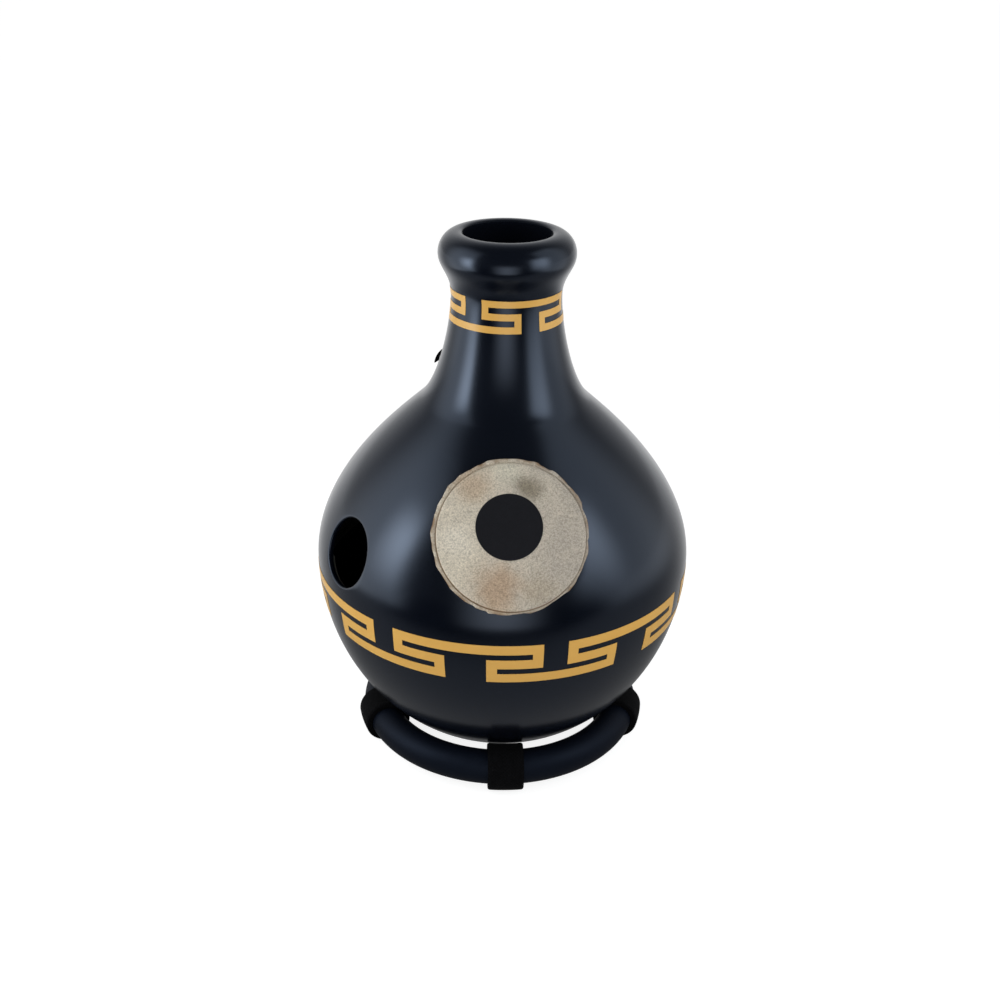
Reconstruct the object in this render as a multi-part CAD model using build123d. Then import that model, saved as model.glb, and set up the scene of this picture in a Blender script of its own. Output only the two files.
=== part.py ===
from build123d import *
import os
from math import asin, atan2, cos, degrees, hypot, radians, sin, sqrt

os.makedirs("parts", exist_ok=True)

# Round-bodied udu drum: a lacquered glass-fibre vessel with a skin head on its shoulder, standing on a
# ring with five wrapped sleeves. Millimetres and degrees, +Z up, the floor at height 0, the head at -Y.
# Heights on the drum are measured from its widest circle, azimuths from the front towards +X.

# Driving dimensions of the vessel
BODY_RADIUS = 159.0
BOWL_DEPTH = 176.6
UNDERSIDE_RADIUS = 46.0
SHOULDER_RADIUS = 69.9
SHOULDER_HEIGHT = 137.9
SHOULDER_LEAN = 44.3
NECK_RADIUS = 44.4
NECK_HEIGHT = 226.0
LIP_RADIUS = 54.8
LIP_HEIGHT = 259.0
CREST_RADIUS = 39.5
CREST_HEIGHT = 276.2
MOUTH_RADIUS = 34.8
MOUTH_DROP = 3.0
THROAT_DROP = 14.0
WALL = 5.0

# Pull of the profile's curves at their ends, as shares of the height that each one spans
BELLY_PULL = 0.48
SHOULDER_PULL = 0.14
SWEEP_PULL = 0.26
NECK_PULL = 0.27
FLARE_PULL = 0.5
LIP_PULL = 0.33
THROAT_PULL = 0.4

# Steps of the curves through points of the profile
BOWL_STEPS = 10
TAPE_STEPS = 6

# Joint of the two mouldings
TAPE_WIDTH = 36.0
TAPE_THICKNESS = 1.5

# Side hole
HOLE_RADIUS = 28.4
HOLE_HEIGHT = 35.0
HOLE_AZIMUTH = -59.0

# Head
HEAD_RADIUS = 56.5
HEAD_HEIGHT = 75.0
COLLAR_WALL = 7.0
COLLAR_PROUD = 5.0
COLLAR_TAIL = 3.0
COLLAR_ROUND = 1.5
SKIN_THICKNESS = 0.8
HEM_SPREAD = 3.2

# Gold meanders: levels, line width, number of repeats, and shares of one repeat
PAINT_THICKNESS = 0.3
BODY_BAND_TOP = -4.4
BODY_BAND_BOTTOM = -39.7
BODY_LINE = 8.4
BODY_REPEATS = 7
BODY_FOLD_SHARE = 0.313
BODY_GAP_SHARE = 0.14
BODY_BAND_AZIMUTH = 1.2
NECK_BAND_TOP = 232.4
NECK_BAND_BOTTOM = 206.7
NECK_LINE = 5.4
NECK_REPEATS = 3
NECK_FOLD_SHARE = 0.335
NECK_GAP_SHARE = 0.167
NECK_BAND_AZIMUTH = 51.9

# Hang tab behind the neck
TAB_AZIMUTH = -118.0
TAB_HEIGHT = 166.0
TAB_WIDTH = 7.5
TAB_LENGTH = 15.0
TAB_LOOP = 0.85
TAB_BOW = 1.27
TAB_FLARE = 3.0
TAB_TUCK = 3.6
WEBBING_THICKNESS = 1.0
RIVET_RADIUS = 1.6
RIVET_HEAD_RADIUS = 2.6
RIVET_HEAD_THICKNESS = 0.8
RIVET_GRIP_HEIGHT = 4.5

# Ring stand
RING_RADIUS = 109.5
TUBE_RADIUS = 14.4
TUBE_WALL = 4.0
TUBE_END_GAP = 0.4
PLUG_LENGTH = 60.0
SLEEVE_WIDTH = 30.0
SLEEVE_THICKNESS = 5.3
SIDE_SLEEVE_AZIMUTH = 75.0
BACK_SLEEVE_AZIMUTH = 145.0
FOOT_FLAT = 0.5

# Clearances
SEAT_CLEARANCE = 0.3
BOND_GAP = 0.1
WRAP_GAP = 0.15
HEM_CLEARANCE = 0.6


# Profile of the vessel

def shoulder_turn(inset):
    """The point where the shoulder's bulge turns into the neck's sweep, and the way the profile runs there."""
    lean = radians(SHOULDER_LEAN)
    point = Vector(SHOULDER_RADIUS - inset * cos(lean), SHOULDER_HEIGHT - inset * sin(lean))
    return point, Vector(-sin(lean), cos(lean))


def shoulder_curve(inset=0.0):
    """Handles of the profile from the widest circle to the turn, inset from the outer face."""
    turn, run = shoulder_turn(inset)
    belly = Vector(BODY_RADIUS - inset, 0)
    rise = Vector(0, BELLY_PULL * SHOULDER_HEIGHT)
    return [belly, belly + rise, turn - run * (SHOULDER_PULL * SHOULDER_HEIGHT), turn]


def neck_curve(inset=0.0):
    """Handles of the profile from the turn to the narrowest part of the neck."""
    turn, run = shoulder_turn(inset)
    span = NECK_HEIGHT - SHOULDER_HEIGHT
    neck = Vector(NECK_RADIUS - inset, NECK_HEIGHT)
    return [turn, turn + run * (SWEEP_PULL * span), neck - Vector(0, NECK_PULL * span), neck]


def lip_curve():
    """Handles of the flare from the narrowest part of the neck to the lip's widest circle."""
    span = LIP_HEIGHT - NECK_HEIGHT
    neck = Vector(NECK_RADIUS, NECK_HEIGHT)
    lip = Vector(LIP_RADIUS, LIP_HEIGHT)
    return [neck, neck + Vector(0, FLARE_PULL * span), lip - Vector(0, LIP_PULL * span), lip]


def throat_curve():
    """Handles of the bore's change from the neck's inside to the mouth."""
    neck = Vector(NECK_RADIUS - WALL, NECK_HEIGHT)
    mouth = Vector(MOUTH_RADIUS, CREST_HEIGHT - MOUTH_DROP - THROAT_DROP)
    pull = Vector(0, THROAT_PULL * (mouth.Y - neck.Y))
    return [neck, neck + pull, mouth - pull, mouth]


def curve_point(handles, share):
    """Point of a cubic curve at a share of its way."""
    first, second, third, last = handles
    rest = 1 - share
    start = first * rest**3 + second * (3 * rest**2 * share)
    return start + third * (3 * rest * share**2) + last * share**3


def share_where(reached):
    """The share of a way, from 0 to 1, from which a test holds."""
    low, high = 0.0, 1.0
    for _ in range(60):
        middle = (low + high) / 2
        if reached(middle):
            high = middle
        else:
            low = middle
    return high


def profile_radius(height, inset=0.0):
    """Radius of the vessel's outer face, or of a face inset from it, at a height."""
    if height <= 0:
        return (BODY_RADIUS - inset) * sqrt(max(0.0, 1 - (height / (BOWL_DEPTH - inset)) ** 2))
    handles = lip_curve()
    if height < NECK_HEIGHT:
        handles = neck_curve(inset)
    if height < shoulder_turn(inset)[0].Y:
        handles = shoulder_curve(inset)
    share = share_where(lambda part: curve_point(handles, part).Y >= height)
    return curve_point(handles, share).X


def surface_plane(azimuth, height):
    """Plane on the vessel's outer face: X runs level round the drum, Y up the face, Z straight out of it."""
    step = 0.5
    fall = profile_radius(height - step) - profile_radius(height + step)
    lean = atan2(fall, 2 * step)
    way = radians(azimuth)
    outward = Vector(sin(way), -cos(way), 0)
    origin = outward * profile_radius(height) + Vector(0, 0, height)
    normal = outward * cos(lean) + Vector(0, 0, sin(lean))
    return Plane(origin, x_dir=(cos(way), sin(way), 0), z_dir=normal)


def face_depth(plane, x, y):
    """How far below a plane on the vessel its outer face lies, at a point of the plane."""
    reach = BODY_RADIUS

    def inside(share):
        point = plane.from_local_coords(Vector(x, y, -share * reach))
        return hypot(point.X, point.Y) <= profile_radius(point.Z)

    return share_where(inside) * reach


def turned(outline, arc=360.0):
    """Turns a closed outline of radius and height about the upright axis."""
    return revolve(Plane.XZ * make_face(outline), Axis.Z, revolution_arc=arc)


# Vessel

def underside_level(inset):
    """Height of the flat underside, or of the floor inside it."""
    return inset - BOWL_DEPTH * sqrt(1 - (UNDERSIDE_RADIUS / BODY_RADIUS) ** 2)


def bowl_curve(inset):
    """Part of the bowl's ellipse, from the edge of the underside up to the widest circle."""
    depth = BOWL_DEPTH - inset
    lowest = asin(underside_level(inset) / depth)
    angles = [lowest * (1 - step / BOWL_STEPS) for step in range(BOWL_STEPS + 1)]
    return Spline([((BODY_RADIUS - inset) * cos(angle), depth * sin(angle)) for angle in angles])


def make_lower_bowl():
    outer = bowl_curve(0.0)
    inner = bowl_curve(WALL)
    underside = Polyline(inner @ 0, (0, underside_level(WALL)), (0, underside_level(0.0)), outer @ 0)
    return turned([underside, outer, Line(outer @ 1, inner @ 1), inner])


def make_upper_shell():
    mouth_height = CREST_HEIGHT - MOUTH_DROP
    outer = [Bezier(*shoulder_curve()), Bezier(*neck_curve()), Bezier(*lip_curve())]
    lip = EllipticalCenterArc((CREST_RADIUS, LIP_HEIGHT), LIP_RADIUS - CREST_RADIUS, CREST_HEIGHT - LIP_HEIGHT)
    mouth = EllipticalCenterArc((CREST_RADIUS, mouth_height), CREST_RADIUS - MOUTH_RADIUS, MOUTH_DROP, 90)
    inner = [Bezier(*throat_curve()), Bezier(*neck_curve(WALL)), Bezier(*shoulder_curve(WALL))]
    bore = Line(mouth @ 1, inner[0] @ 1)
    seam = Line((BODY_RADIUS - WALL, 0), (BODY_RADIUS, 0))
    shell = turned(outer + [lip, mouth, bore] + inner + [seam])
    shell -= side_hole(0.0)
    shell -= head_plane() * Cylinder(HEAD_RADIUS + BOND_GAP, 2 * (collar_depth() + WALL))
    return shell - rivet_plane() * Cylinder(RIVET_RADIUS + BOND_GAP, 4 * WALL)


def side_hole(room):
    """The plug of air that the side hole takes out of the wall, with room round it."""
    reach = 2 * (WALL + HOLE_RADIUS)
    return surface_plane(HOLE_AZIMUTH, HOLE_HEIGHT) * Cylinder(HOLE_RADIUS + room, reach)


def make_seam_tape():
    """Glass-fibre band that bonds the two mouldings together inside."""
    levels = [TAPE_WIDTH * (step / TAPE_STEPS - 0.5) for step in range(TAPE_STEPS + 1)]
    outer = Spline([(profile_radius(level, WALL) - BOND_GAP, level) for level in levels])
    inner = Spline([(profile_radius(level, WALL) - BOND_GAP - TAPE_THICKNESS, level) for level in levels])
    band = turned([outer, Line(outer @ 1, inner @ 1), inner, Line(inner @ 0, outer @ 0)])
    return band - side_hole(TAPE_THICKNESS)


# Head

def rim_depths():
    """Depths of the vessel's face under the head's rim, below the plane that touches the face at its centre."""
    plane = surface_plane(0, HEAD_HEIGHT)
    sides = [(HEAD_RADIUS, 0), (-HEAD_RADIUS, 0), (0, HEAD_RADIUS), (0, -HEAD_RADIUS)]
    return [face_depth(plane, x, y) for x, y in sides]


def head_plane():
    """Plane of the collar's rim, proud of the highest part of the face under it."""
    return surface_plane(0, HEAD_HEIGHT).offset(COLLAR_PROUD - min(rim_depths()))


def collar_depth():
    """Length of the collar: from its rim through the wall to a tail inside."""
    depths = rim_depths()
    return COLLAR_PROUD + max(depths) - min(depths) + WALL + COLLAR_TAIL


def make_head_collar():
    """Stiff ring bonded into the port, with a rounded bearing edge."""
    depth = collar_depth()
    ring = Cylinder(HEAD_RADIUS, depth) - Cylinder(HEAD_RADIUS - COLLAR_WALL, depth)
    ring = fillet(ring.edges().group_by(Axis.Z)[-1].sort_by(SortBy.RADIUS)[-1], COLLAR_ROUND)
    return head_plane() * Pos(0, 0, -depth / 2) * ring


def make_head_skin():
    """Skin stretched over the rim, with its trimmed hem spreading down the outside of the collar."""
    drop = COLLAR_PROUD - HEM_CLEARANCE
    edge = HEAD_RADIUS + BOND_GAP
    under = Polyline((0, BOND_GAP), (edge, BOND_GAP), (edge, -COLLAR_ROUND), (edge + HEM_SPREAD, -drop))
    over = Polyline(
        (0, BOND_GAP + SKIN_THICKNESS),
        (edge, BOND_GAP + SKIN_THICKNESS),
        (edge + SKIN_THICKNESS, -COLLAR_ROUND),
        (edge + HEM_SPREAD + SKIN_THICKNESS, -drop),
    )
    skin = turned([under, Line(under @ 1, over @ 1), over, Line(over @ 0, under @ 0)])
    return head_plane() * skin


# Gold meanders

def paint_strip(low, high, start, end):
    """Film of paint between two levels and two azimuths."""
    levels = [low, (low + high) / 2, high]
    inner = Spline([(profile_radius(level) + BOND_GAP, level) for level in levels])
    outer = Spline([(profile_radius(level) + BOND_GAP + PAINT_THICKNESS, level) for level in levels])
    film = turned([inner, Line(inner @ 1, outer @ 1), outer, Line(outer @ 0, inner @ 0)], end - start)
    return Rot(0, 0, start - 90) * film


def make_meander(top, bottom, line, repeats, fold_share, gap_share, azimuth):
    """One unbroken line: along the top, folded back and down, along the bottom, folded back and up."""
    pitch = 360 / repeats
    fold = fold_share * pitch
    middle_low = (top + bottom - line) / 2
    middle_high = middle_low + line
    upright = degrees(line / profile_radius(middle_low))
    down_left = azimuth - fold / 2
    down_right = azimuth + fold / 2
    up_left = down_right + gap_share * pitch
    up_right = up_left + fold
    strips = [
        (top - line, top, up_left - pitch, down_right),
        (middle_high, top - line, down_right - upright, down_right),
        (middle_low, middle_high, down_left, down_right),
        (bottom + line, middle_low, down_left, down_left + upright),
        (bottom, bottom + line, down_left, up_right),
        (bottom + line, middle_low, up_right - upright, up_right),
        (middle_low, middle_high, up_left, up_right),
        (middle_high, top - line, up_left, up_left + upright),
    ]
    unit = Part() + [paint_strip(*strip) for strip in strips]
    return Part() + [Rot(0, 0, pitch * count) * unit for count in range(repeats)]


# Hang tab

def rivet_plane():
    """Where the rivet goes through the wall, straight out of the neck."""
    return surface_plane(TAB_AZIMUTH, TAB_HEIGHT)


def make_hang_tab():
    """Short webbing strap folded over at its top, its outer layer bowed out over the rivet to a loose end."""
    thick = WEBBING_THICKNESS
    near = SEAT_CLEARANCE
    laid = near + thick
    folded = laid + TAB_LOOP + thick
    top = RIVET_GRIP_HEIGHT
    end = top - TAB_LENGTH
    outer = SagittaArc((folded, top), (folded + TAB_FLARE, end), TAB_BOW)
    inner = SagittaArc((folded + TAB_FLARE - thick, end), (folded - thick, top - thick), -TAB_BOW)
    seat = Polyline((laid, end + TAB_TUCK), (near, end + TAB_TUCK), (near, top), (folded, top))
    inside = Polyline(inner @ 1, (laid, top - thick), (laid, end + TAB_TUCK))
    section = make_face([seat, outer, Line(outer @ 1, inner @ 0), inner, inside])
    side = Plane(origin=(0, 0, 0), x_dir=(0, 0, 1), z_dir=(-1, 0, 0))
    tab = extrude(side * section, TAB_WIDTH / 2, both=True)
    return rivet_plane() * (tab - Cylinder(RIVET_RADIUS + BOND_GAP, 2 * (laid + BOND_GAP)))


def make_tab_rivet():
    """Rivet through the strap's inner layer and the neck's wall, headed on both sides."""
    outer_face = SEAT_CLEARANCE + WEBBING_THICKNESS + BOND_GAP
    inner_face = -WALL - SEAT_CLEARANCE
    shank = Pos(0, 0, (outer_face + inner_face) / 2) * Cylinder(RIVET_RADIUS, outer_face - inner_face)
    head = Cylinder(RIVET_HEAD_RADIUS, RIVET_HEAD_THICKNESS)
    outside = Pos(0, 0, outer_face + RIVET_HEAD_THICKNESS / 2) * head
    inside = Pos(0, 0, inner_face - RIVET_HEAD_THICKNESS / 2) * head
    return rivet_plane() * (shank + outside + inside)


# Ring stand, and the height at which the drum sits in it

SLEEVE_RADIUS = TUBE_RADIUS + SLEEVE_THICKNESS
RING_LEVEL = SLEEVE_RADIUS - FOOT_FLAT


def seat_point(share):
    """Centre of a tube that touches the bowl, by the share of the way from its widest circle to its bottom."""
    angle = radians(90 * share)
    slope = Vector(BOWL_DEPTH * cos(angle), -BODY_RADIUS * sin(angle))
    touch = Vector(BODY_RADIUS * cos(angle), -BOWL_DEPTH * sin(angle))
    return touch + slope.normalized() * (SLEEVE_RADIUS + SEAT_CLEARANCE)


def body_level():
    """Height of the drum's widest circle above the floor, with the bowl down on the sleeves."""
    share = share_where(lambda part: seat_point(part).X <= RING_RADIUS)
    return RING_LEVEL - seat_point(share).Y


def bent_round_ring(section, length, azimuth):
    """A section of the ring's tube, swept along the ring and centred on an azimuth."""
    arc = degrees(length / RING_RADIUS)
    piece = revolve(Plane.XZ * Pos(RING_RADIUS, RING_LEVEL) * section, Axis.Z, revolution_arc=arc)
    return Rot(0, 0, azimuth - 90 - arc / 2) * piece


def make_ring_tube():
    """Hose bent into a ring, with its ends butted together at the back."""
    length = radians(360) * RING_RADIUS - TUBE_END_GAP
    return bent_round_ring(Circle(TUBE_RADIUS) - Circle(TUBE_RADIUS - TUBE_WALL), length, 0)


def make_ring_plug():
    """Dowel inside the hose, across the butted ends."""
    return bent_round_ring(Circle(TUBE_RADIUS - TUBE_WALL - BOND_GAP), PLUG_LENGTH, 180)


def make_sleeve(azimuth):
    """Strip wrapped round the ring, its edges parallel, pressed flat where it stands on the floor."""
    wrap = bent_round_ring(Circle(SLEEVE_RADIUS) - Circle(TUBE_RADIUS + WRAP_GAP), 2 * SLEEVE_WIDTH, azimuth)
    wrap &= Rot(0, 0, azimuth) * Box(SLEEVE_WIDTH, 4 * RING_RADIUS, 4 * RING_RADIUS)
    floor = Box(4 * RING_RADIUS, 4 * RING_RADIUS, SLEEVE_RADIUS, align=(Align.CENTER, Align.CENTER, Align.MAX))
    return wrap - floor


# Build and write every piece

lift = Pos(0, 0, body_level())
body_band = (BODY_BAND_TOP, BODY_BAND_BOTTOM, BODY_LINE, BODY_REPEATS)
neck_band = (NECK_BAND_TOP, NECK_BAND_BOTTOM, NECK_LINE, NECK_REPEATS)
pieces = {
    "lower_bowl": lift * make_lower_bowl(),
    "upper_shell": lift * make_upper_shell(),
    "seam_tape": lift * make_seam_tape(),
    "body_meander": lift * make_meander(*body_band, BODY_FOLD_SHARE, BODY_GAP_SHARE, BODY_BAND_AZIMUTH),
    "neck_meander": lift * make_meander(*neck_band, NECK_FOLD_SHARE, NECK_GAP_SHARE, NECK_BAND_AZIMUTH),
    "head_collar": lift * make_head_collar(),
    "head_skin": lift * make_head_skin(),
    "hang_tab": lift * make_hang_tab(),
    "tab_rivet": lift * make_tab_rivet(),
    "ring_tube": make_ring_tube(),
    "ring_plug": make_ring_plug(),
}
sleeve_azimuths = {
    "front": 0,
    "right": SIDE_SLEEVE_AZIMUTH,
    "back_right": BACK_SLEEVE_AZIMUTH,
    "back_left": -BACK_SLEEVE_AZIMUTH,
    "left": -SIDE_SLEEVE_AZIMUTH,
}
for side, azimuth in sleeve_azimuths.items():
    pieces["sleeve_" + side] = make_sleeve(azimuth)
for node, piece in pieces.items():
    export_step(piece, "parts/" + node + ".step")
print("widest circle at", round(body_level(), 2), "top at", round(body_level() + CREST_HEIGHT, 2))
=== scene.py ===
import math
import random

import bpy
import numpy as np
from mathutils import Matrix, Vector


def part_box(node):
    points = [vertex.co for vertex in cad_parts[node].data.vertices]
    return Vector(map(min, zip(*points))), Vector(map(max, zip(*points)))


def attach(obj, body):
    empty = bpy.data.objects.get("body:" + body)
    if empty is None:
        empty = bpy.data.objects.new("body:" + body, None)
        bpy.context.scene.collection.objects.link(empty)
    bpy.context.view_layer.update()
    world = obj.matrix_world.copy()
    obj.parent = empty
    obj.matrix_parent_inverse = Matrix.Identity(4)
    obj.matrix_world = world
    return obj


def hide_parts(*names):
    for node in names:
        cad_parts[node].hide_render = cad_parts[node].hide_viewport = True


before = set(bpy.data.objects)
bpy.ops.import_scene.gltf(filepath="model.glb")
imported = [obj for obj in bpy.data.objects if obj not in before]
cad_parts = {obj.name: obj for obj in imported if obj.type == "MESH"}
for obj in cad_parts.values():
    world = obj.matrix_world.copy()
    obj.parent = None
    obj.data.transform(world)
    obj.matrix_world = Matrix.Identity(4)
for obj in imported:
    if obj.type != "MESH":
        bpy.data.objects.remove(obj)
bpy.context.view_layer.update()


# Ring tube
# A length of black rubber hose bent into a ring, with its cut ends butted together at the back.
# It lies in five sleeves and, through them, carries the drum.
MM = 0.001
TUBE_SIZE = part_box("ring_tube")
RING_LEVEL = (TUBE_SIZE[0].z + TUBE_SIZE[1].z) / 2
TUBE_RADIUS = (TUBE_SIZE[1].z - TUBE_SIZE[0].z) / 2
RING_RADIUS = 109.5 * MM
TUBE_WALL = 4 * MM
BUTT_GAP = 0.06 * MM
CUT_ROUND = 0.5 * MM
TUBE_STEPS = 216
TUBE_SIDES = 56
RUBBER_BLACK = "#060911"
RUBBER_BLOOM = "#0a0e18"
RUBBER_SHEEN = "#bfd6ff"
BLOOM_SIZE = 38 * MM
DIE_TOOTH = 1.1 * MM


def linear(colour):
    """Linear colour of an sRGB hex value such as #1c1d20."""
    channels = [int(colour[start:start + 2], 16) / 255 for start in (1, 3, 5)]
    return [c / 12.92 if c <= 0.04045 else ((c + 0.055) / 1.055) ** 2.4 for c in channels] + [1.0]


def add_node(tree, kind, settings=None, inputs=None):
    """Adds a shader node with its own settings. Each input is set to a value, or linked to a socket
    or to the first output of another node."""
    node = tree.nodes.new("ShaderNode" + kind)
    for setting, value in (settings or {}).items():
        setattr(node, setting, value)
    for name, value in (inputs or {}).items():
        if isinstance(value, bpy.types.Node):
            value = value.outputs[0]
        if isinstance(value, bpy.types.NodeSocket):
            tree.links.new(value, node.inputs[name])
        else:
            node.inputs[name].default_value = value
    return node


def new_material(name):
    """An empty material, the node tree to fill, and each point's place in its piece's own frame."""
    material = bpy.data.materials.new(name)
    material.use_nodes = True
    tree = material.node_tree
    tree.nodes.clear()
    return material, tree, add_node(tree, "TexCoord").outputs["Object"]


def strips(rings):
    """Quads between each ring of points and the next one, every ring closed on itself."""
    faces = []
    for ring, following in zip(rings, rings[1:]):
        for k in range(len(ring)):
            n = (k + 1) % len(ring)
            faces.append((ring[k], ring[n], following[n], following[k]))
    return faces


def numbered(rings):
    """The points of all rings in one list, and the same rings as the points' numbers."""
    points = [point for ring in rings for point in ring]
    ends = np.cumsum([len(ring) for ring in rings])
    return points, [list(range(end - len(ring), end)) for ring, end in zip(rings, ends)]


def add_piece(name, points, faces, material):
    """A smooth mesh piece, still riding on nothing."""
    mesh = bpy.data.meshes.new(name)
    mesh.from_pydata(points, [], faces)
    mesh.materials.append(material)
    mesh.shade_smooth()
    piece = bpy.data.objects.new(name, mesh)
    bpy.context.scene.collection.objects.link(piece)
    return piece


def round_ring(azimuth, radius, sides):
    """A circle round the ring's centre line, at an azimuth from the front."""
    outward = Vector((math.sin(azimuth), -math.cos(azimuth), 0))
    centre = outward * RING_RADIUS + Vector((0, 0, RING_LEVEL))
    turns = [math.tau * side / sides for side in range(sides)]
    return [centre + outward * (radius * math.cos(t)) + Vector((0, 0, radius * math.sin(t))) for t in turns]


def extruded_rubber():
    """EPDM rubber, satin from the die: a faint tooth all over, and a dull bloom in patches."""
    material, tree, place = new_material("extruded_rubber")
    bloom = add_node(tree, "TexNoise", {}, {"Vector": place, "Scale": 1 / BLOOM_SIZE, "Detail": 4.0})
    tooth = add_node(tree, "TexNoise", {}, {"Vector": place, "Scale": 1 / DIE_TOOTH, "Detail": 2.0})
    colour = add_node(tree, "Mix", {"data_type": "RGBA"},
                      {0: bloom, 6: linear(RUBBER_BLACK), 7: linear(RUBBER_BLOOM)})
    dull = add_node(tree, "MapRange", {}, {"Value": bloom, "To Min": 0.46, "To Max": 0.62})
    bump = add_node(tree, "Bump", {}, {"Height": tooth, "Strength": 0.12, "Distance": 0.2 * MM})
    skin = add_node(tree, "BsdfPrincipled", {},
                    {"Base Color": colour.outputs[2], "Roughness": dull, "IOR": 1.5,
                     "Specular IOR Level": 0.24, "Specular Tint": linear(RUBBER_SHEEN),
                     "Normal": bump})
    add_node(tree, "OutputMaterial", {}, {"Surface": skin})
    return material


cut = BUTT_GAP / 2 / RING_RADIUS
bevel = CUT_ROUND / RING_RADIUS
turns = [math.pi + cut, math.pi + cut + bevel]
turns += [math.pi + math.tau * step / TUBE_STEPS for step in range(1, TUBE_STEPS)]
turns += [3 * math.pi - cut - bevel, 3 * math.pi - cut]
outside = [round_ring(turn, TUBE_RADIUS, TUBE_SIDES) for turn in turns]
outside[0] = round_ring(turns[0], TUBE_RADIUS - CUT_ROUND, TUBE_SIDES)
outside[-1] = round_ring(turns[-1], TUBE_RADIUS - CUT_ROUND, TUBE_SIDES)
bore = [round_ring(turn, TUBE_RADIUS - TUBE_WALL, TUBE_SIDES) for turn in reversed(turns)]
points, rings = numbered(outside + bore)
ring_tube = add_piece("rubber_ring", points, strips(rings + rings[:1]), extruded_rubber())
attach(ring_tube, "stand")
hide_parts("ring_tube")


# Ring plug
# A short beech dowel pushed and glued into both ends of the hose. It keeps the ring closed.
# It lies wholly inside the hose, so only its end grain could ever show, through the butted joint.
BEECH_PALE = "#c9a57a"
BEECH_DARK = "#a87f55"
GROWTH_RING = 2.2 * MM


def beech():
    """Plain turned beech: pale, with darker, wavering growth rings."""
    material, tree, place = new_material("turned_beech")
    growth = add_node(tree, "TexWave", {"wave_type": "BANDS", "bands_direction": "Z"},
                      {"Vector": place, "Scale": 1 / GROWTH_RING / math.tau,
                       "Distortion": 3.0, "Detail": 2.0})
    colour = add_node(tree, "Mix", {"data_type": "RGBA"},
                      {0: growth.outputs["Fac"], 6: linear(BEECH_PALE), 7: linear(BEECH_DARK)})
    wood = add_node(tree, "BsdfPrincipled", {},
                    {"Base Color": colour.outputs[2], "Roughness": 0.6, "IOR": 1.5})
    add_node(tree, "OutputMaterial", {}, {"Surface": wood})
    return material


def dress(node, material):
    """Gives a CAD node its finish."""
    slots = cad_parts[node].data.materials
    slots.clear()
    slots.append(material)


dress("ring_plug", beech())


# Sleeves
# Five strips of black woven polyester, each wrapped three times round the ring and glued down.
# The drum sits on their tops, and their undersides are pressed flat on the floor.
FLAT_DEPTH = 0.5 * MM
SLEEVE_RADIUS = (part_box("sleeve_front")[1].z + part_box("sleeve_front")[0].z + FLAT_DEPTH) / 2
SLEEVE_WIDTH = 30 * MM
SLEEVE_LAYERS = 3
SLEEVE_AZIMUTHS = {"front": 0, "right": 75, "back_right": 145, "back_left": -145, "left": -75}
SLEEVE_GAP = 0.15 * MM
SLEEVE_SIDES = 120
SLEEVE_STEPS = 22
WRAP_STEP = 0.9 * MM
WRAP_END = math.radians(205)
EDGE_ROUND = 1.8 * MM
EDGE_SHARE = 0.3
BORE_ROUND = 1.2 * MM
LAYER_ROUND = 0.1 * MM
LAYER_NOTCH = 0.6 * MM
PUCKER = 0.22 * MM
PUCKER_WAVES = 5
PUCKER_SLANT = 60
CLOTH_BLACK = "#050506"
CLOTH_WORN = "#0d0d10"
THREAD = 1.5 * MM


def woven_polyester():
    """Plain-woven polyester, matt, with a little fuzz. Its threads are drawn twice as wide, to show."""
    material, tree, place = new_material("woven_polyester")
    axes = add_node(tree, "SeparateXYZ", {}, {"Vector": place})
    turn = add_node(tree, "Math", {"operation": "ARCTAN2"}, {0: axes.outputs["Z"], 1: axes.outputs["Y"]})
    warp = add_node(tree, "Math", {"operation": "MULTIPLY"},
                    {0: turn, 1: math.pi * round(SLEEVE_RADIUS / THREAD)})
    weft = add_node(tree, "Math", {"operation": "MULTIPLY"}, {0: axes.outputs["X"], 1: math.pi / THREAD})
    over = add_node(tree, "Math", {"operation": "SINE"}, {0: warp})
    under = add_node(tree, "Math", {"operation": "SINE"}, {0: weft})
    weave = add_node(tree, "Math", {"operation": "MULTIPLY"}, {0: over, 1: under})
    fuzz = add_node(tree, "TexNoise", {}, {"Vector": place, "Scale": 0.3 / THREAD, "Detail": 5.0})
    height = add_node(tree, "Math", {"operation": "MULTIPLY_ADD"}, {0: weave, 1: 0.5, 2: fuzz})
    worn = add_node(tree, "Math", {"operation": "MULTIPLY"}, {0: height, 1: fuzz})
    colour = add_node(tree, "Mix", {"data_type": "RGBA"},
                      {0: worn, 6: linear(CLOTH_BLACK), 7: linear(CLOTH_WORN)})
    bump = add_node(tree, "Bump", {}, {"Height": height, "Strength": 0.6, "Distance": 0.35 * MM})
    cloth = add_node(tree, "BsdfPrincipled", {},
                     {"Base Color": colour.outputs[2], "Roughness": 0.9, "IOR": 1.45,
                      "Specular IOR Level": 0.1, "Sheen Weight": 0.02, "Sheen Roughness": 0.4,
                      "Normal": bump})
    add_node(tree, "OutputMaterial", {}, {"Surface": cloth})
    return material


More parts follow.
